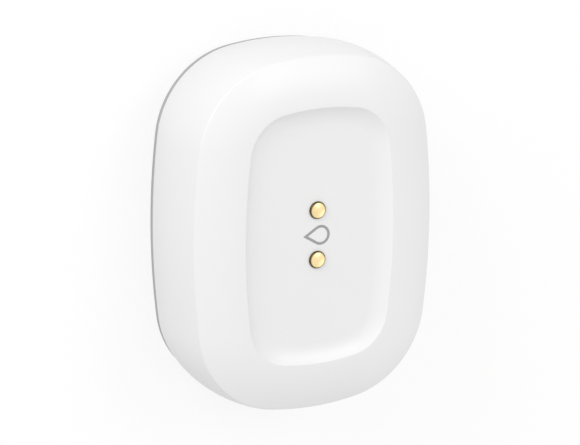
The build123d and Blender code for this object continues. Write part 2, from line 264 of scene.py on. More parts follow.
def eased(before, after, radius, steps):
    """Joins two rows of profile points and rounds the corner where they meet."""
    corner = before[-1]
    enter = (corner - before[-2]).normalized()
    leave = (after[1] - corner).normalized()
    half = enter.angle(leave) / 2
    cut = radius * tan(half)
    crest = corner + (leave - enter).normalized() * radius * (1 / cos(half) - 1)
    bend = arc_points(corner - enter * cut, crest, corner + leave * cut, steps)
    kept_before, kept_after = [
        [p for p in row if (p - corner).length > cut * bend_clearance] for row in (before, after)]
    return kept_before + bend + kept_after


def skin(form, rings, closed=False):
    """Faces between neighbouring rings of vertices, where a ring of one vertex is a pole."""
    for low, high in zip(rings, rings[1:] + rings[:1] if closed else rings[1:]):
        steps = max(len(low), len(high))
        for index in range(steps):
            after = (index + 1) % steps
            corners = (low[index % len(low)], low[after % len(low)],
                       high[after % len(high)], high[index % len(high)])
            form.faces.new(list(dict.fromkeys(corners)))


def seam_rings(form, profile):
    """Joined rings along the outline, one for each (out, up) point of the profile."""
    rings = [[form.verts.new((*(place + outward * out), up)) for place, outward in stations]
             for out, up in profile]
    skin(form, rings)
    return rings


def close_ring(form, ring, up):
    """Fills a flat ring with shrinking rings and a centre point."""
    smaller = [[form.verts.new((v.co.x * share, v.co.y * share, up)) for v in ring]
               for share in pole_shares]
    skin(form, [ring, *smaller, [form.verts.new((0, 0, up))]])


def finish_piece(form, name, sharp_angle=30):
    """Turns a bmesh into an object: faces point outwards and edges over the angle stay sharp."""
    bmesh.ops.remove_doubles(form, verts=form.verts, dist=merge_distance)
    bmesh.ops.recalc_face_normals(form, faces=form.faces)
    mesh = bpy.data.meshes.new(name)
    form.to_mesh(mesh)
    form.free()
    mesh.shade_smooth()
    mesh.set_sharp_from_angle(angle=radians(sharp_angle))
    return new_object(name, mesh)


def settle(piece, step):
    """Keeps what a piece's modifier makes of it as a plain mesh."""
    bpy.context.view_layer.update()
    shape = bpy.data.meshes.new_from_object(piece.evaluated_get(bpy.context.evaluated_depsgraph_get()))
    piece.modifiers.remove(step)
    piece.data = shape
    shape.name = piece.name


def combine(piece, other, operation, sharp_angle=35, crossing=False):
    """Joins, cuts or trims a piece with another, which is used up and may cross itself."""
    step = piece.modifiers.new("combine", "BOOLEAN")
    step.operation = operation
    step.solver = "EXACT"
    step.use_self = crossing
    step.object = other
    settle(piece, step)
    piece.data.set_sharp_from_angle(angle=radians(sharp_angle))
    bpy.data.objects.remove(other)


def add_block(form, low, high):
    """An upright block between two corners."""
    size = (Vector(high) - Vector(low)) / 2
    middle = (Vector(high) + Vector(low)) / 2
    bmesh.ops.create_cube(form, size=2, matrix=Matrix.Translation(middle) @ Matrix.Diagonal((*size, 1)))


ridge_level = total_height - crown_rise
rim_inset = crown_width + ridge_setback
dish_inset = rim_inset + dish_wall_width
dish_level = total_height - dish_depth
dish_under = dish_level - dish_floor
ridge_point = Vector((-ridge_setback, ridge_level))
rim_point = Vector((-rim_inset, total_height))
dish_angle = 2 * atan2(dish_depth, dish_wall_width)
dish_arc_radius = dish_wall_width / sin(dish_angle)
dish_middle = (
    -dish_inset + dish_arc_radius * sin(dish_angle / 2),
    dish_level + dish_arc_radius * (1 - cos(dish_angle / 2)),
)
crown_run = (rim_point - ridge_point).normalized()
crown_middle = (ridge_point + rim_point) / 2 - Vector((-crown_run.y, crown_run.x)) * crown_bulge
wall_middle = (wall_bulge - ridge_setback / 2, (seam_height + ridge_level) / 2)
wall_rows = arc_points((0, seam_height), wall_middle, ridge_point, steps=36)
crown_rows = arc_points(ridge_point, crown_middle, rim_point, steps=30)
dish_rows = arc_points(rim_point, dish_middle, (-dish_inset, dish_level), steps=20)
shell_rows = eased([Vector((-skirt_wall, seam_height)), wall_rows[0]], wall_rows, seam_edge, steps=4)
shell_rows = eased(shell_rows, crown_rows, ridge_round, steps=10)
shell_rows = eased(shell_rows, dish_rows, rim_round, steps=6)
inner_rows = [(-rim_inset, dish_under), (-skirt_wall, ridge_level - crown_wall), (-skirt_wall, seam_height)]
stations = seam_stations()
shell_form = bmesh.new()
outer_rings = seam_rings(shell_form, shell_rows)
inner_rings = seam_rings(shell_form, inner_rows)
close_ring(shell_form, outer_rings[-1], dish_level)
close_ring(shell_form, inner_rings[0], dish_under)
upper_shell = finish_piece(shell_form, "upper_shell", sharp_angle=35)

# Ribs and holes of the upper housing: four ribs stiffen the long wall beside the board and three
# each end, all moulded in one with the shell, and two holes in the dish take the water contacts.
# The ribs start as blocks over the outer half of the housing, and two plugs trim them to the wall.
rib_top = ridge_level - crown_wall / 2
block_middle, block_reach = (1 + wall_rib_start) / 2, (1 - wall_rib_start) / 2


def evenly(count, pitch):
    """The offsets of a row of like things from its middle."""
    return [(index - (count - 1) / 2) * pitch for index in range(count)]


rib_places = [(-half_width * block_middle, y, half_width * block_reach, wall_rib / 2)
              for y in evenly(side_ribs, wall_rib_spacing)]
rib_places += [(x, side * half_length * block_middle, wall_rib / 2, half_length * block_reach)
               for x in evenly(end_ribs, wall_rib_spacing) for side in (-1, 1)]
ribs_form = bmesh.new()
for x, y, reach_x, reach_y in rib_places:
    add_block(ribs_form, (x - reach_x, y - reach_y, wall_rib_foot), (x + reach_x, y + reach_y, rib_top))
ribs = finish_piece(ribs_form, "wall_ribs")
for out, margin, operation in (
    (-skirt_wall / 2, 1 * mm, "INTERSECT"),
    (-skirt_wall - wall_rib_depth, 2 * mm, "DIFFERENCE"),
):
    plug_form = bmesh.new()
    for ring in seam_rings(plug_form, [(out, wall_rib_foot - margin), (out, rib_top + margin)]):
        plug_form.faces.new(ring)
    combine(ribs, finish_piece(plug_form, "rib_plug"), operation)
combine(upper_shell, ribs, "UNION")
drip_places = [(0, drip_middle_y + side * drip_contact_y, 0) for side in (1, -1)]
drill_low = dish_under - crown_wall
drill_form = bmesh.new()
for place in drip_places:
    middle = Vector(place) + Vector((0, 0, (drill_low + total_height) / 2))
    bmesh.ops.create_cone(
        drill_form, cap_ends=True, segments=hole_steps, radius1=contact_hole, radius2=contact_hole,
        depth=total_height - drill_low, matrix=Matrix.Translation(middle))
combine(upper_shell, finish_piece(drill_form, "contact_drill"), "DIFFERENCE")

# White moulded plastic: a fine spark-eroded grain, slightly uneven gloss, and a trace of
# cloudiness that keeps large faces from looking flat.
housing_white = (0.833, 0.836, 0.835)
grain_scale = 5200.0
grain_depth = 0.02 * mm
cloud_scale = 90.0


def new_group(name, kind, inputs, outputs):
    """A node group with the named sockets, its incoming values and its output node."""
    group = bpy.data.node_groups.new(name, kind)
    for way, sockets in (("INPUT", inputs), ("OUTPUT", outputs)):
        for label, socket_kind in sockets.items():
            group.interface.new_socket(label, in_out=way, socket_type=f"NodeSocket{socket_kind}")
    return group, added(group, "NodeGroupInput"), group.nodes.new("NodeGroupOutput")


def object_place(tree):
    return added(tree, "ShaderNodeTexCoord")["Object"]


def add_noise(tree, place, scale, detail):
    return added(tree, "ShaderNodeTexNoise", {"Vector": place, "Scale": scale, "Detail": detail})["Fac"]


def spread(tree, value, low, high):
    """Maps a 0 to 1 value to low to high."""
    return added(tree, "ShaderNodeMapRange", {"Value": value, "To Min": low, "To Max": high})["Result"]


def mixed(tree, mask, first, second):
    """A colour between two others by a mask: a Mix node's colour sockets are 6 and 7, out 2."""
    return added(tree, "ShaderNodeMix", {0: mask, 6: first, 7: second}, data_type="RGBA")[2]


def bumped(tree, height, strength, distance):
    """Normals that are tilted by a pattern of heights."""
    return added(tree, "ShaderNodeBump", {"Height": height, "Strength": strength, "Distance": distance})[0]


def shaded(colour, share):
    return tuple(channel * share for channel in colour)


grain_tree, enter, leave = new_group(
    "moulded_grain", "ShaderNodeTree",
    dict.fromkeys(("Grain Scale", "Cloud Scale", "Gloss", "Gloss Spread"), "Float"),
    dict.fromkeys(("Height", "Cloud", "Roughness"), "Float"))
place = object_place(grain_tree)
cloud = add_noise(grain_tree, place, enter["Cloud Scale"], detail=2.0)
unevenness = worked_out(grain_tree, "SUBTRACT", cloud, 0.5)
feed(grain_tree, leave, {
    "Height": add_noise(grain_tree, place, enter["Grain Scale"], detail=3.0),
    "Cloud": cloud,
    "Roughness": worked_out(grain_tree, "MULTIPLY_ADD", unevenness, enter["Gloss Spread"], enter["Gloss"]),
})


def moulded(name, colour, shade=0.975, gloss=0.4, gloss_spread=0.08, grain=0.03, scale=grain_scale,
            clear=0.0):
    """Moulded plastic, rubber or ink: one colour, a shade darker in clouds, with grain."""
    material, tree, shader = new_material(name)
    surface = added(tree, "ShaderNodeGroup", {
        "Grain Scale": scale, "Cloud Scale": cloud_scale, "Gloss": gloss, "Gloss Spread": gloss_spread,
    }, node_tree=grain_tree)
    feed(tree, shader, {
        "Base Color": mixed(tree, surface["Cloud"], colour, shaded(colour, shade)),
        "Roughness": surface["Roughness"],
        "Normal": bumped(tree, surface["Height"], grain, grain_depth),
        "Transmission Weight": clear,
    })
    return material


def seat(piece, material, body, slot=None, *stands_for):
    """Gives a finished piece its material and body, and hides the CAD nodes that it stands for. The slot is
    not used.
    """
    piece.data.materials.clear()
    piece.data.materials.append(material)
    if stands_for:
        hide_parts(*stands_for)
    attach(piece, body)


housing_plastic = moulded("housing_plastic", housing_white, gloss=0.35, gloss_spread=0.07)
seat(upper_shell, housing_plastic, "upper", "housing_white", "upper_housing")

# Drop sign: a grey outline of a water drop, pad-printed on the dish floor between the two
# contacts, with its tip towards the left side.
sign_grey = (0.335, 0.345, 0.345)
sign_reach = 2.36 * mm
sign_radius = 1.235 * mm
sign_centre = (0.55 * mm, 0.02 * mm)
sign_stroke = 0.37 * mm
sign_steps = 48
ink_thickness = 0.03 * mm
flank_angle = asin(sign_radius / sign_reach)


def drop_outline(grown):
    """The drop's edge moved outwards by grown: two straight flanks and a round end."""
    radius = sign_radius + grown
    reach = sign_reach + grown / sin(flank_angle)
    touch = acos(radius / reach)
    x, y = sign_centre
    points = [(x - reach, y)]
    for step in range(sign_steps + 1):
        angle = pi - touch - (2 * pi - 2 * touch) * step / sign_steps
        points.append((x + radius * cos(angle), y + radius * sin(angle)))
    return points


sign_form = bmesh.new()
sign_rings = [
    [sign_form.verts.new((x, y, dish_level + up)) for x, y in drop_outline(grown)]
    for grown, up in ((-sign_stroke / 2, 0), (-sign_stroke / 2, ink_thickness),
                      (sign_stroke / 2, ink_thickness), (sign_stroke / 2, 0))
]
skin(sign_form, sign_rings, closed=True)
sign_ink = moulded("sign_ink", sign_grey, shade=0.94, gloss=0.55, grain=0.1)
seat(finish_piece(sign_form, "drop_sign", sharp_angle=35), sign_ink, "upper")

# Water contacts: six turned and gilt heads with a stem. Two stand in the dish and bridge over
# when water lies in it, and four reach down through the underside to the floor.
head_radius = 1.25 * mm
head_height = 0.3 * mm
head_lip = 0.3 * mm
drip_head_lip = 0.25 * mm
lip_corner = 0.03 * mm
head_shoulder = 0.22 * mm
stem_radius = 0.8 * mm
stem_tip = 0.12 * mm
turning_steps = 64
gold = (0.94, 0.77, 0.45)
gold_deep = (0.86, 0.66, 0.33)
# Painted shade: a dark brown painted round the edge of each contact head, starting at the first radius and
# full at the second.
gold_painted_shade = (0.10, 0.065, 0.025)
painted_shade_start_radius = 0.95 * mm
painted_shade_full_radius = 1.16 * mm


def turned(profile, name, sharp_angle=35, steps=turning_steps):
    """A turned piece about Z: a row of (radius, height) points from axis to axis, or a closed ring."""
    form = bmesh.new()
    spokes = [2 * pi * step / steps for step in range(steps)]
    rings = []
    for radius, up in profile:
        if radius < merge_distance:
            rings.append([form.verts.new((0, 0, up))])
        else:
            rings.append([form.verts.new((radius * cos(a), radius * sin(a), up)) for a in spokes])
    skin(form, rings, closed=len(rings[0]) > 1)
    return finish_piece(form, name, sharp_angle)


def end_with_patterns(tree, enter, leave, feeds):
    """Ends a geometry tree: its pattern piece stands on each of the points, all as one mesh."""
    pattern = added(tree, "GeometryNodeObjectInfo", {"Object": enter["Pattern Piece"]})["Geometry"]
    placed = added(tree, "GeometryNodeInstanceOnPoints", {**feeds, "Instance": pattern})[0]
    feed(tree, leave, {0: added(tree, "GeometryNodeRealizeInstances", {"Geometry": placed})[0]})


placing_tree, enter, leave = new_group("pieces_on_places", "GeometryNodeTree", {
    "Places": "Geometry", "Pattern Piece": "Object", "Most Turn": "Float", "Seed": "Int",
}, {"Pieces": "Geometry"})
chance = added(placing_tree, "FunctionNodeRandomValue", {3: enter["Most Turn"], "Seed": enter["Seed"]})[1]
upright = added(placing_tree, "ShaderNodeCombineXYZ", {"Z": chance})[0]
end_with_patterns(placing_tree, enter, leave, {"Points": enter["Places"], "Rotation": upright})


def run_tree(piece, tree, values):
    """Gives a piece its tree with the named inputs, and keeps the result as a plain mesh."""
    step = piece.modifiers.new("tree", "NODES")
    step.node_group = tree
    for socket in tree.interface.items_tree:
        if socket.in_out == "INPUT" and socket.name in values:
            step[socket.identifier] = values[socket.name]
    settle(piece, step)


def set_out(name, places, pattern, material, body, slot, stands_for=(), most_turn=0.0, seed=1):
    """One piece made of the pattern at every place, riding on a body. The pattern is used up."""
    mesh = bpy.data.meshes.new(name)
    mesh.from_pydata(places, [], [])
    piece = new_object(name, mesh)
    run_tree(piece, placing_tree, {"Pattern Piece": pattern, "Most Turn": most_turn, "Seed": seed})
    bpy.data.objects.remove(pattern)
    seat(piece, material, body, slot, *stands_for)


def numbered(name, count):
    return [f"{name}_{number}" for number in range(1, count + 1)]


def middle_of(node):
    low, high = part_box(node)
    return (low + high) / 2


def radius_of(node):
    low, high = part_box(node)
    return (high.x - low.x) / 2


def gilt(name, places):
    """Gold plate with painted shade: a dark brown ring is painted round the edge of each head in place of
    the dark reflections there.
    """
    material, tree, shader = new_material(name)
    place = object_place(tree)
    nearest = None
    for x, y, z in places:
        flat = added(tree, "ShaderNodeMapping", {
            "Vector": place, "Location": (-x, -y, -z), "Scale": (1, 1, 0)})[0]
        reach = added(tree, "ShaderNodeVectorMath", {0: flat}, operation="LENGTH")["Value"]
        nearest = reach if nearest is None else worked_out(tree, "MINIMUM", nearest, reach)
    # Painted shade: this mask darkens each head's gold towards its edge.
    edge = added(tree, "ShaderNodeMapRange", {
        "Value": nearest, "From Min": painted_shade_start_radius, "From Max": painted_shade_full_radius,
    }, interpolation_type="SMOOTHSTEP")["Result"]
    plating = mixed(tree, add_noise(tree, place, scale=900.0, detail=3.0), gold, gold_deep)
    rubbed = add_noise(tree, place, scale=2600.0, detail=4.0)
    pits = add_noise(tree, place, scale=7000.0, detail=3.0)
    feed(tree, shader, {
        "Base Color": mixed(tree, edge, plating, gold_painted_shade),
        "Metallic": 1.0,
        "Roughness": spread(tree, rubbed, low=0.30, high=0.44),
        "Normal": bumped(tree, pits, strength=0.06, distance=0.01 * mm),
    })
    return material


def contact_pattern(name, seat_level, upward, stem_length, lip_height):
    """A domed head over its seat and a stem below it, or the same turned over."""
    crest = lip_height + head_height
    dome_radius = (head_radius**2 + head_height**2) / (2 * head_height)
    half_dome = asin(head_radius / dome_radius) / 2
    dome_side = (dome_radius * sin(half_dome), dome_radius * (cos(half_dome) - 1) + crest)
    dome = arc_points((0, crest), dome_side, (head_radius, lip_height), steps=14)
    lip = [Vector((head_radius, lip_height)), Vector((head_radius, lip_corner))]
    rows = [(max(point.x, 0.0), point.y) for point in eased(dome, lip, head_shoulder, steps=8)]
    rows += [
        (head_radius - lip_corner, 0.0),
        (stem_radius, 0.0),
        (stem_radius, stem_tip - stem_length),
        (stem_radius - stem_tip, -stem_length),
        (0.0, -stem_length),
    ]
    side = 1 if upward else -1
    return turned([(radius, seat_level + side * up) for radius, up in rows], name, sharp_angle=40)


drip_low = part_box("drip_contact_1")[0]
probe_low, probe_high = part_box("floor_probe_1")
probe_nodes = numbered("floor_probe", 4)
probe_places = [(*middle_of(node).xy, 0) for node in probe_nodes]
probe_seat = probe_low.z + head_lip + head_height
drip_head = contact_pattern("drip_head", dish_level, True, dish_level - drip_low.z, drip_head_lip)
probe_head = contact_pattern("probe_head", probe_seat, False, probe_high.z - probe_seat, head_lip)
drip_gilt = gilt("gilt_drip_contacts", drip_places)
probe_gilt = gilt("gilt_floor_probes", probe_places)
set_out("drip_contacts", drip_places, drip_head, drip_gilt, "upper", "gilt", numbered("drip_contact", 2))
set_out("floor_probes", probe_places, probe_head, probe_gilt, "base", "gilt", probe_nodes)

# Ring seals and clips: a black rubber ring keeps water out round each stem, and a sprung steel
# washer with teeth, pushed over the stem, holds the contact and squeezes the ring.
ring_rubber = (0.025, 0.025, 0.027)
spring_steel = (0.63, 0.63, 0.62)
ring_round = 0.16 * mm
ring_bend = 0.3 * ring_round
ring_steps = 48
clip_teeth = 8
clip_cut = 0.22 * mm
tooth_steps = 6
notch_start = 4
brushing_stretch = (1, 0.06, 1)
stain_scale = 420.0


def metal(name, colour, shade, gloss, gloss_spread, brush_scale, bump):
    """Bare metal: brushed or rolled grain drawn out along Y, and faint stains."""
    material, tree, shader = new_material(name)
    place = object_place(tree)
    drawn = added(tree, "ShaderNodeMapping", {"Vector": place, "Scale": brushing_stretch})[0]
    brush = add_noise(tree, drawn, brush_scale, detail=4.0)
    stain = add_noise(tree, place, stain_scale, detail=3.0)
    feed(tree, shader, {
        "Base Color": mixed(tree, stain, colour, shaded(colour, shade)),
        "Metallic": 1.0,
        "Roughness": spread(tree, brush, gloss, gloss + gloss_spread),
        "Normal": bumped(tree, brush, bump, distance=0.01 * mm),
    })
    return material


def two_sided(half, low, high):
    """A closed profile whose upper half mirrors the lower, from (radius, height) points."""
    return [(radius, low + up) for radius, up in half] + [(radius, high - up) for radius, up in half[::-1]]


def ring_pattern(node, name):
    """A soft ring with rounded edges, in the place of a CAD ring but on the Z axis."""
    low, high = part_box(node)
    outer = radius_of(node)
    r = ring_round
    half = [(stem_radius, r), (stem_radius + r, 0), (outer - r, 0), (outer - ring_bend, ring_bend),
            (outer, r)]
    return turned(two_sided(half, low.z, high.z), name, sharp_angle=60, steps=ring_steps)


def clip_pattern(node, name):
    """A thin washer whose inner edge is cut into teeth that grip the stem."""
    low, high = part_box(node)
    outer = radius_of(node)
    form = bmesh.new()
    steps = clip_teeth * tooth_steps
    rows = []
    for step in range(steps):
        angle = 2 * pi * step / steps
        inner = stem_radius + (clip_cut if step % tooth_steps >= notch_start else 0)
        way = Vector((cos(angle), sin(angle)))
        corners = two_sided([(inner, 0), (outer, 0)], low.z, high.z)
        rows.append([form.verts.new((*(way * radius), up)) for radius, up in corners])
    skin(form, rows, closed=True)
    return finish_piece(form, name)


rubber = moulded("ring_rubber", ring_rubber, shade=0.8, gloss=0.62, grain=0.2)
clip_steel = metal("spring_steel", spring_steel, shade=0.86, gloss=0.22, gloss_spread=0.14,
                   brush_scale=5200.0, bump=0.05)
for group, places, body in (("drip_contact", drip_places, "upper"), ("floor_probe", probe_places, "base")):
    seals = numbered(f"{group}_seal", len(places))
    clips = numbered(f"{group}_clip", len(places))
    soft_ring = ring_pattern(seals[0], "soft_ring")
    set_out(f"{group}_rings", places, soft_ring, rubber, body, "ring_black", seals)
    toothed = clip_pattern(clips[0], "toothed_clip")
    set_out(f"{group}_washers", places, toothed, clip_steel, body, "spring_steel", clips,
            most_turn=pi, seed=3)

# Housing seal: a soft grey ring of silicone rubber that lies on the lower housing's flange and
# shows as a thin line round the back edge.
seal_grey = (0.43, 0.44, 0.44)
seal_round = 0.06 * mm
spigot_outer = 1.3 * mm

bar_tree, enter, leave = new_group("bar_along_seam", "GeometryNodeTree", {
    "Path": "Geometry", "Width": "Float", "Height": "Float", "Edge Round": "Float",
}, {"Bar": "Geometry"})
path = added(bar_tree, "GeometryNodeMeshToCurve", {"Mesh": enter["Path"]})[0]
level = added(bar_tree, "GeometryNodeSetCurveNormal", {"Curve": path}, mode="Z_UP")[0]
section = added(bar_tree, "GeometryNodeCurvePrimitiveQuadrilateral", {
    "Width": enter["Width"], "Height": enter["Height"]})[0]
rounded = added(bar_tree, "GeometryNodeFilletCurve", {
    "Curve": section, "Radius": enter["Edge Round"]}, mode="POLY")[0]
bar = added(bar_tree, "GeometryNodeCurveToMesh", {"Curve": level, "Profile Curve": rounded})[0]
feed(bar_tree, leave, {0: added(bar_tree, "GeometryNodeSetShadeSmooth", {"Geometry": bar})[0]})

seal_height = seal_high.z + seam_lift - seal_low.z
seal_middle = seal_low.z + seal_height / 2
seal_inset = (spigot_outer + seal_setback) / 2
seal_path = [(*(place - outward * seal_inset), seal_middle) for place, outward in stations]
seal_mesh = bpy.data.meshes.new("seal_ring")
seal_mesh.from_pydata(seal_path, [(i, (i + 1) % len(seal_path)) for i in range(len(seal_path))], [])
seal_ring = new_object("seal_ring", seal_mesh)
seal_rubber = moulded("seal_rubber", seal_grey, shade=0.9, gloss=0.6, grain=0.12)
run_tree(seal_ring, bar_tree, {
    "Width": spigot_outer - seal_setback, "Height": seal_height, "Edge Round": seal_round})
seat(seal_ring, seal_rubber, "base", "seal_grey", "housing_seal")

# Lower housing: the white tray that the works stand in. It has a rounded underside, a flange
# for the seal, a spigot inside the upper housing, screw bosses, ribs and a pry notch.
flat_limit = radians(0.5)
edge_limit = radians(40)


def break_edges(form, edges, offset, clamped=False):
    """Rounds the edges of a form."""
    bmesh.ops.bevel(form, geom=edges, offset=offset, segments=2, profile=0.5, affect="EDGES",
                    clamp_overlap=clamped)


def fitted(node, name, material, body, slot, edge=0.0):
    """A merged copy of a CAD node with its edges broken by a small round, which replaces it."""
    form = bmesh.new()
    form.from_mesh(nodes[node].data)
    bmesh.ops.remove_doubles(form, verts=form.verts, dist=merge_distance)
    bmesh.ops.dissolve_limit(form, angle_limit=flat_limit, verts=form.verts, edges=form.edges)
    if edge:
        sharp = [e for e in form.edges if len(e.link_faces) == 2 and e.calc_face_angle(0) > edge_limit]
        break_edges(form, sharp, edge, clamped=True)
    piece = finish_piece(form, name)
    if "custom_normal" in piece.data.attributes:
        piece.data.attributes.remove(piece.data.attributes["custom_normal"])
    seat(piece, material, body, slot, node)
    return piece


fitted("lower_housing", "lower_tray", housing_plastic, "base", "housing_white")

# Circuit board: green solder mask over copper tracks on glass-epoxy, with its raw edge. The
# tracks run in lanes, along the board in some patches and across it in others.
mask_green = (0.018, 0.145, 0.062)
track_green = (0.045, 0.27, 0.12)
edge_buff = (0.50, 0.47, 0.28)
track_pitch = 0.55 * mm
track_share = 0.19
track_run = 5.0 * mm
track_gap = 0.5
lane_step = 3.7
jog_period = 7.0 * mm
jog_start = 1.6 * mm
jog_stop = 4.4 * mm
patch_scale = 110.0
board_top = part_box("circuit_board")[1].z


def track_lanes(tree, along, across, shift):
    """Parallel tracks that run straight, step aside at 45 degrees and start and stop in places."""
    aside = worked_out(tree, "PINGPONG", worked_out(tree, "ADD", along, shift), jog_period)
    aside = worked_out(tree, "MINIMUM", worked_out(tree, "MAXIMUM", aside, jog_start), jog_stop)
    lane = worked_out(tree, "DIVIDE", worked_out(tree, "ADD", across, aside), track_pitch)
    copper = worked_out(tree, "LESS_THAN", worked_out(tree, "PINGPONG", lane, 0.5), track_share)
    stretch = added(tree, "ShaderNodeCombineXYZ", {
        "X": worked_out(tree, "DIVIDE", along, track_run),
        "Y": worked_out(tree, "MULTIPLY", worked_out(tree, "ROUND", lane), lane_step)})[0]
    kept = worked_out(tree, "GREATER_THAN", add_noise(tree, stretch, scale=1.0, detail=0.0), track_gap)
    return worked_out(tree, "MULTIPLY", copper, kept)


def solder_mask():
    """Green lacquer over paler tracks, and bare glass weave on the board's edge."""
    material, tree, shader = new_material("solder_mask")
    place = object_place(tree)
    split = added(tree, "ShaderNodeSeparateXYZ", {0: place})
    across, along = split["X"], split["Y"]
    patch = worked_out(tree, "GREATER_THAN", add_noise(tree, place, patch_scale, detail=0.0), 0.5)
    other = worked_out(tree, "SUBTRACT", 1.0, patch)
    crossing = worked_out(tree, "MULTIPLY", other, track_lanes(tree, across, along, jog_start))
    tracks = worked_out(tree, "MULTIPLY_ADD", patch, track_lanes(tree, along, across, 0.0), crossing)
    lacquer = mixed(tree, tracks, mask_green, track_green)
    normal = added(tree, "ShaderNodeNewGeometry")["Normal"]
    upward = added(tree, "ShaderNodeSeparateXYZ", {0: normal})["Z"]
    flat = worked_out(tree, "GREATER_THAN", worked_out(tree, "ABSOLUTE", upward), 0.5)
    weave = mixed(tree, add_noise(tree, place, scale=3000.0, detail=3.0), edge_buff, shaded(edge_buff, 0.7))
    lacquer_gloss = add_noise(tree, place, scale=900.0, detail=2.0)
    feed(tree, shader, {
        "Base Color": mixed(tree, flat, weave, lacquer),
        "Roughness": spread(tree, lacquer_gloss, low=0.22, high=0.34),
        "Normal": bumped(tree, tracks, strength=0.5, distance=0.03 * mm),
    })
    return material


board = fitted("circuit_board", "board", solder_mask(), "base", "board_green")

# Vias: small gilt rings scattered over the board's top, clear of its edges and of each other,
# where a plated hole joins the tracks of both sides.
via_radius = 0.19 * mm
via_hole = 0.09 * mm
via_height = 0.012 * mm
via_steps = 16
via_spacing = 1.7 * mm
via_margin = 0.45 * mm
via_density = 400000.0
via_seed = 11
level_limit = 0.9

via_tree, enter, leave = new_group("scattered_vias", "GeometryNodeTree", {
    "Board": "Geometry", "Pattern Piece": "Object"}, {"Vias": "Geometry"})
normal = added(via_tree, "GeometryNodeInputNormal")["Normal"]
upward = added(via_tree, "ShaderNodeSeparateXYZ", {0: normal})["Z"]
on_top = worked_out(via_tree, "GREATER_THAN", upward, level_limit)
points = added(via_tree, "GeometryNodeDistributePointsOnFaces", {
    "Mesh": enter["Board"], "Selection": on_top, "Distance Min": via_spacing, "Density Max": via_density,
    "Seed": via_seed}, distribute_method="POISSON")["Points"]
edge_distance = added(via_tree, "GeometryNodeProximity", {0: enter["Board"]}, target_element="EDGES")
at_edge = worked_out(via_tree, "LESS_THAN", edge_distance["Distance"], via_margin)
clear_points = added(via_tree, "GeometryNodeDeleteGeometry", {
    "Geometry": points, "Selection": at_edge}, domain="POINT")[0]
end_with_patterns(via_tree, enter, leave, {"Points": clear_points})

tinned_gilt = metal("tinned_gilt", (0.88, 0.66, 0.32), shade=0.8, gloss=0.25, gloss_spread=0.15,
                    brush_scale=3000.0, bump=0.03)
via_rows = two_sided([(via_hole, 0), (via_radius, 0)], 0, via_height)
via_ring = turned(via_rows, "via_ring", sharp_angle=30, steps=via_steps)
vias = new_object("board_vias", board.data.copy())
run_tree(vias, via_tree, {"Pattern Piece": via_ring})
bpy.data.objects.remove(via_ring)
seat(vias, tinned_gilt, "base", "gilt")

# Board screws: four steel pan-head screws with a cross recess and a coarse thread, driven
# through the board into the bosses of the lower housing.
screw_low, screw_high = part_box("board_screws")
screw_head_radius = 1.35 * mm
screw_head_round = 0.45 * mm
screw_crown_share = 0.86
screw_crown_drop = 0.16 * mm
screw_rim_height = 0.08 * mm
screw_rim_inset = 0.06 * mm
screw_radius = 0.6 * mm
screw_core_radius = 0.51 * mm
screw_tip_radius = 0.3 * mm
screw_tip_height = 0.1 * mm
screw_steps = 40
thread_pitch = 0.55 * mm
thread_margin = 0.3 * mm
thread_shares = (0.4, 0.5, 0.9)
recess_reach = 0.68 * mm
recess_half_width = 0.18 * mm
recess_depth = 0.45 * mm
end_screw_y = 15 * mm


def screw_places():
    """The middles of the screws, found from the vertices of their one CAD node."""
    groups = {}
    for vertex in nodes["board_screws"].data.vertices:
        place = vertex.co
        key = (place.x > 0, place.y > 0) if abs(place.y) > end_screw_y else ("side", place.y > 0)
        groups.setdefault(key, []).append(place)
    middles = []
    for places in groups.values():
        xs, ys = [place.x for place in places], [place.y for place in places]
        middles.append(((min(xs) + max(xs)) / 2, (min(ys) + max(ys)) / 2, 0))
    return sorted(middles)


def pan_head_screw(name):
    """A pan head with a cross recess over a threaded shank with a blunt tip."""
    top, low = screw_high.z, screw_low.z
    rows = [
        (0.0, top), (screw_head_radius / 2, top),
        (screw_crown_share * screw_head_radius, top - screw_crown_drop),
        (screw_head_radius, top - screw_head_round), (screw_head_radius, board_top + screw_rim_height),
        (screw_head_radius - screw_rim_inset, board_top), (screw_core_radius, board_top),
    ]
    flank, crest, root = [share * thread_pitch for share in thread_shares]
    level = board_top - thread_margin
    while level - thread_pitch > low + thread_margin:
        rows += [
            (screw_core_radius, level), (screw_radius, level - flank),
            (screw_radius, level - crest), (screw_core_radius, level - root),
        ]
        level -= thread_pitch
    rows += [(screw_core_radius, low + screw_tip_height), (screw_tip_radius, low), (0.0, low)]
    piece = turned(rows, name, sharp_angle=25, steps=screw_steps)
    form = bmesh.new()
    for x, y in ((recess_reach, recess_half_width), (recess_half_width, recess_reach)):
        add_block(form, (-x, -y, top - recess_depth), (x, y, top + recess_depth))
    combine(piece, finish_piece(form, "recess"), "DIFFERENCE", sharp_angle=30, crossing=True)
    return piece


screw_steel = metal("screw_steel", (0.58, 0.58, 0.59), shade=0.82, gloss=0.2, gloss_spread=0.16,
                    brush_scale=3000.0, bump=0.04)
set_out("board_screw_set", screw_places(), pan_head_screw("pan_head"), screw_steel, "base",
        "spring_steel", ["board_screws"], most_turn=pi / 2, seed=5)

# Parts soldered to the board: moulded chips with tinned legs, a drawn steel can over the radio,
# a ceramic aerial and capacitor, a small light and the push switch.
chip_black = (0.022, 0.022, 0.024)
ceramic_pale = (0.80, 0.79, 0.74)
capacitor_ochre = (0.62, 0.36, 0.07)
can_grey = (0.66, 0.66, 0.65)
led_clear = (0.90, 0.90, 0.84)
button_black = (0.05, 0.05, 0.055)
solder_grey = (0.70, 0.70, 0.71)
chip_edge = 0.07 * mm
leg_width = 0.3 * mm
leg_thickness = 0.12 * mm
leg_bends = ((0.45, 0.62), (0.5, 0.68))
leg_rise_share = 0.35
most_leg_rise = 0.5 * mm
cap_proud = 0.03 * mm
cap_edge = 0.08 * mm
led_base_height = 0.35 * mm

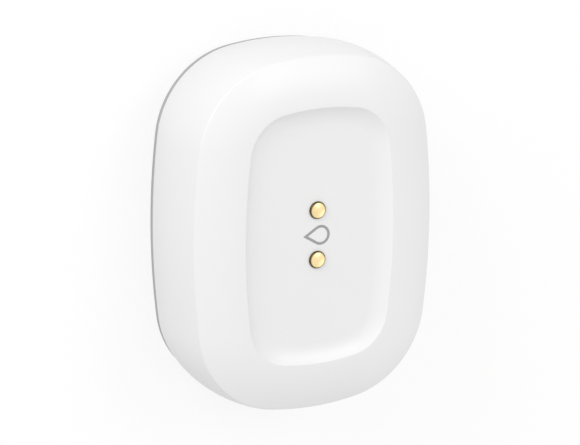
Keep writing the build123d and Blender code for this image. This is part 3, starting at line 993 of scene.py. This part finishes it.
chip_plastic = moulded("chip_plastic", chip_black, shade=0.8, gloss=0.5, grain=0.25, scale=9000.0)
ceramic = moulded("fired_ceramic", ceramic_pale, shade=0.92, gloss=0.45, grain=0.1)
ochre = moulded("capacitor_body", capacitor_ochre, shade=0.85, gloss=0.4, grain=0.12)
switch_black = moulded("switch_plastic", button_black, shade=0.8, gloss=0.35, grain=0.1)
lens = moulded("led_lens", led_clear, shade=0.95, gloss=0.12, gloss_spread=0.04, grain=0.02, clear=0.1)
can_steel = metal("can_steel", can_grey, shade=0.88, gloss=0.2, gloss_spread=0.14,
                  brush_scale=4200.0, bump=0.05)
solder = metal("solder", solder_grey, shade=0.75, gloss=0.28, gloss_spread=0.18,
               brush_scale=1600.0, bump=0.08)

for node, finish, slot, edge in (
    ("radio_chip", chip_plastic, "chip_black", chip_edge),
    ("sense_chip", chip_plastic, "chip_black", chip_edge),
    ("voltage_regulator", chip_plastic, "chip_black", chip_edge),
    ("temperature_sensor", chip_plastic, "chip_black", chip_edge),
    ("switch_body", switch_black, "chip_black", chip_edge),
    ("supply_capacitor", ochre, "capacitor_ochre", 0.18 * mm),
    ("chip_antenna", ceramic, "ceramic_pale", 0.06 * mm),
    ("crystal", can_steel, "can_steel", 0.15 * mm),
    ("shield_can", can_steel, "can_steel", 0.12 * mm),
    ("switch_cover", can_steel, "can_steel", 0.04 * mm),
    ("status_led", lens, "led_clear", 0.05 * mm),
):
    fitted(node, f"{node}_fitted", finish, "base", slot, edge)
fitted("connect_button", "button_stem", switch_black, "button", "button_black", 0.1 * mm)


def leg_pattern(reach, rise):
    """One gull-wing leg that leaves a chip at height rise, steps down and lies on the board."""
    low, high = [[(0, rise + up), (bend * reach, rise + up), (foot * reach, up), (reach, up)]
                 for up, (bend, foot) in zip((0, leg_thickness), leg_bends)]
    form = bmesh.new()
    rows = [[form.verts.new((x, side, z)) for x, z in low + high[::-1]]
            for side in (-leg_width / 2, leg_width / 2)]
    skin(form, rows)
    for row in rows:
        for index in range(3):
            form.faces.new((row[index], row[index + 1], row[-2 - index], row[-1 - index]))
    return finish_piece(form, "gull_leg")


for name, node, along_y, per_side, pitch, reach in (
    ("sense_chip", "sense_chip", True, 4, 1.27 * mm, 0.9 * mm),
    ("regulator", "voltage_regulator", False, 3, 0.95 * mm, 0.5 * mm),
    ("switch", "switch_body", True, 2, 3.4 * mm, 0.8 * mm),
    ("thermometer", "temperature_sensor", True, 3, 0.6 * mm, 0.22 * mm),
):
    low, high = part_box(node)
    middle = (low + high) / 2
    rise = min(leg_rise_share * (high.z - low.z), most_leg_rise)
    offsets = evenly(per_side, pitch)
    for letter, end, side in (("a", high, 1), ("b", low, -1)):
        if along_y:
            turn_about = 0 if side > 0 else pi
            places = [(end.x, middle.y + offset, board_top) for offset in offsets]
        else:
            turn_about = side * pi / 2
            places = [(middle.x + offset, end.y, board_top) for offset in offsets]
        leg = leg_pattern(reach, rise)
        leg.data.transform(Matrix.Rotation(turn_about, 4, "Z"))
        set_out(f"{name}_legs_{letter}", places, leg, solder, "base", "can_steel")

for name, node, share, height in (
    ("capacitor_ends", "supply_capacitor", 0.2, None),
    ("aerial_ends", "chip_antenna", 0.12, None),
    ("led_ends", "status_led", 0.2, led_base_height),
):
    low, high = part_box(node)
    if height:
        high.z = low.z + height
    along = 0 if high.x - low.x > high.y - low.y else 1
    cap = (high[along] - low[along]) * share
    inner_high, inner_low = high.copy(), low.copy()
    inner_high[along] = low[along] + cap
    inner_low[along] = high[along] - cap
    caps_form = bmesh.new()
    for cap_low, cap_high in ((low, inner_high), (inner_low, high)):
        add_block(caps_form, cap_low - Vector((cap_proud, cap_proud, 0)),
                  cap_high + Vector((cap_proud, cap_proud, cap_proud)))
    break_edges(caps_form, list(caps_form.edges), cap_edge)
    seat(finish_piece(caps_form, name, sharp_angle=40), solder, "base", "can_steel")

# Printed marks on the board: white ink corners that show where each larger part sits, screened
# on the green lacquer before the parts are soldered.
mark_white = (0.80, 0.80, 0.77)
mark_gap = 0.28 * mm
mark_length = 0.75 * mm
mark_width = 0.13 * mm
mark_thickness = 0.012 * mm
leg_room = {"switch_body": 0.6 * mm}
mark_stroke = [(0, 0), (-mark_length, 0), (-mark_length, -mark_width), (-mark_width, -mark_width),
               (-mark_width, -mark_length), (0, -mark_length)]

marks_form = bmesh.new()
for node in ("shield_can", "switch_body", "sense_chip", "supply_capacitor", "voltage_regulator",
             "chip_antenna", "crystal", "status_led"):
    low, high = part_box(node)
    middle = (low + high) / 2
    half_x = (high.x - low.x) / 2 + mark_gap + leg_room.get(node, 0)
    half_y = (high.y - low.y) / 2 + mark_gap
    for right, back in ((1, 1), (-1, 1), (-1, -1), (1, -1)):
        corners = [(middle.x + right * (half_x + x), middle.y + back * (half_y + y))
                   for x, y in mark_stroke]
        rings = [[marks_form.verts.new((*corner, level)) for corner in corners]
                 for level in (board_top, board_top + mark_thickness)]
        skin(marks_form, rings)
        for ring in rings:
            marks_form.faces.new(ring)
mark_ink = moulded("mark_ink", mark_white, shade=0.85, gloss=0.5, grain=0.3)
seat(finish_piece(marks_form, "board_marks"), mark_ink, "base", "ceramic_pale")

# Chip resistors and capacitors: small ceramic blocks with tinned ends that surround the larger
# parts, the resistors black and laid across the board, the capacitors tan and laid along it.
passive_length = 1.0 * mm
passive_width = 0.5 * mm
resistor_height = 0.32 * mm
capacitor_height = 0.45 * mm
passive_end = 0.22 * mm
passive_proud = 0.02 * mm
passive_edge = 0.04 * mm
capacitor_tan = (0.40, 0.27, 0.15)
resistor_places = [
    (-4.5, 1.4), (-4.5, 0.2), (-4.5, -1.0), (-9.4, 8.9), (-7.6, 8.9), (-7.2, 17.3),
    (-5.2, 17.3), (-9.6, 18.4), (-7.4, -17.2), (-9.2, -17.2), (-12.4, -8.4), (-1.8, -17.6),
]
capacitor_places = [
    (-5.6, 9.1), (-3.6, 8.0), (-2.0, 8.0), (-3.0, 12.2), (-3.0, 14.4), (-11.4, 13.6),
    (-10.4, -14.2), (-4.9, -13.9), (-4.6, -8.4), (-4.6, -6.4), (-1.8, -2.6), (-1.8, -19.6),
]


def passive_block(name, across, low, high, widened, height):
    """One block of a chip part between two places along its length, lying along X or Y."""
    form = bmesh.new()
    wide = passive_width / 2 + widened
    add_block(form, (low, -wide, 0), (high, wide, height + widened))
    if widened:
        add_block(form, (-high, -wide, 0), (-low, wide, height + widened))
    break_edges(form, list(form.edges), passive_edge)
    block = finish_piece(form, name, sharp_angle=40)
    if not across:
        block.data.transform(Matrix.Rotation(pi / 2, 4, "Z"))
    return block


tan_ceramic = moulded("tan_ceramic", capacitor_tan, shade=0.85, gloss=0.45, grain=0.12)
half = passive_length / 2
for name, places, across, height, body_finish, body_slot in (
    ("chip_resistors", resistor_places, True, resistor_height, chip_plastic, "chip_black"),
    ("chip_capacitors", capacitor_places, False, capacitor_height, tan_ceramic, "capacitor_ochre"),
):
    spots = [(x * mm, y * mm, board_top) for x, y in places]
    body = passive_block("passive_body", across, -half, half, 0, height)
    ends = passive_block("passive_ends", across, half - passive_end, half + passive_proud,
                         passive_proud, height)
    set_out(name, spots, body, body_finish, "base", body_slot)
    set_out(f"{name}_ends", spots, ends, solder, "base", "can_steel")

# Sprung metal: bent strips of thin steel carry the current, hooked over the cradle's end walls,
# under the stems of the dish contacts and over the tips of the floor probes.
strip_edge = 0.03 * mm
for node in ["plus_contact", "minus_contact", "battery_spring", *numbered("contact_arm", 2),
             *numbered("probe_finger", 4)]:
    fitted(node, f"{node}_strip", clip_steel, "base", "spring_steel", strip_edge)

# Battery cradle: one black moulding with two end walls and the trough that the cell lies in.
cradle_black = (0.028, 0.029, 0.031)
cradle_edge = 0.12 * mm
cradle_plastic = moulded("cradle_plastic", cradle_black, shade=0.85, gloss=0.48, grain=0.2)
fitted("battery_cradle", "cell_cradle", cradle_plastic, "base", "cradle_black", cradle_edge)

# Lithium cell: a drawn steel can in a printed green and grey sleeve, with an insulating ring
# and a plus cap at one end. It lies along the housing and lifts out of its cradle.
can_low, can_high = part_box("cell_can")
sleeve_low, sleeve_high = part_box("cell_sleeve")
cap_low, cap_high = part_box("cell_cap")
ring_low, ring_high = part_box("cell_insulator")
cell_middle = middle_of("cell_can")
can_radius, sleeve_radius, cap_radius, insulator_radius = [
    radius_of(node) for node in ("cell_can", "cell_sleeve", "cell_cap", "cell_insulator")]
can_bead = 0.6 * mm
vent_radius = 3.9 * mm
vent_depth = 0.12 * mm
sleeve_lip = 0.05 * mm
cap_round = 0.25 * mm
cell_steps = 96
sleeve_green = (0.035, 0.20, 0.13)
sleeve_pale = (0.62, 0.64, 0.64)
sleeve_band = 6.2 * mm
insulator_black = (0.03, 0.03, 0.03)


def printed_sleeve():
    """Shrink sleeve: a green body with a pale band at the plus end and its shrink ripples."""
    material, tree, shader = new_material("printed_sleeve")
    place = object_place(tree)
    along = added(tree, "ShaderNodeSeparateXYZ", {0: place})["Y"]
    band = worked_out(tree, "GREATER_THAN", along, sleeve_high.y - sleeve_band)
    blotches = add_noise(tree, place, scale=260.0, detail=3.0)
    handled = add_noise(tree, place, scale=700.0, detail=3.0)
    ripples = add_noise(tree, place, scale=380.0, detail=2.0)
    ink = mixed(tree, blotches, sleeve_green, shaded(sleeve_green, 0.82))
    feed(tree, shader, {
        "Base Color": mixed(tree, band, ink, sleeve_pale),
        "Roughness": spread(tree, handled, low=0.22, high=0.36),
        "Normal": bumped(tree, ripples, strength=0.12, distance=0.05 * mm),
    })
    return material


cell_steel = metal("cell_steel", (0.68, 0.67, 0.65), shade=0.9, gloss=0.24, gloss_spread=0.14,
                   brush_scale=3600.0, bump=0.04)
insulator_card = moulded("insulator_card", insulator_black, shade=0.85, gloss=0.7, grain=0.3)
bead_bend = can_bead * (1 - sqrt(0.5))
can_rows = [
    (0, can_low.y + vent_depth), (vent_radius - vent_depth, can_low.y + vent_depth),
    (vent_radius, can_low.y), (can_radius - can_bead, can_low.y),
    (can_radius - bead_bend, can_low.y + bead_bend), (can_radius, can_low.y + can_bead),
    (can_radius, can_high.y - can_bead), (can_radius - bead_bend, can_high.y - bead_bend),
    (can_radius - can_bead, can_high.y), (0, can_high.y),
]
sleeve_half = [(can_radius, 0), (sleeve_radius - sleeve_lip, 0), (sleeve_radius, sleeve_lip)]
sleeve_rows = two_sided(sleeve_half, sleeve_low.y, sleeve_high.y)
ring_rows = two_sided([(cap_radius, 0), (insulator_radius, 0)], ring_low.y, ring_high.y)
cap_bend = cap_round * (1 - sqrt(0.5))
cap_rows = [
    (0, cap_low.y), (cap_radius, cap_low.y), (cap_radius, cap_high.y - cap_round),
    (cap_radius - cap_bend, cap_high.y - cap_bend), (cap_radius - cap_round, cap_high.y), (0, cap_high.y),
]
lay_down = Matrix.Translation((cell_middle.x, 0, cell_middle.z)) @ Matrix.Rotation(-pi / 2, 4, "X")
for name, node, rows, sharp_angle, material, slot in (
    ("cell_case", "cell_can", can_rows, 20, cell_steel, "cell_steel"),
    ("cell_wrap", "cell_sleeve", sleeve_rows, 30, printed_sleeve(), "cell_sleeve"),
    ("insulator_ring", "cell_insulator", ring_rows, 30, insulator_card, "cell_insulator"),
    ("plus_cap", "cell_cap", cap_rows, 40, cell_steel, "cell_steel"),
):
    piece = turned(rows, name, sharp_angle, cell_steps)
    piece.data.transform(lay_down)
    seat(piece, material, "cell", slot, node)
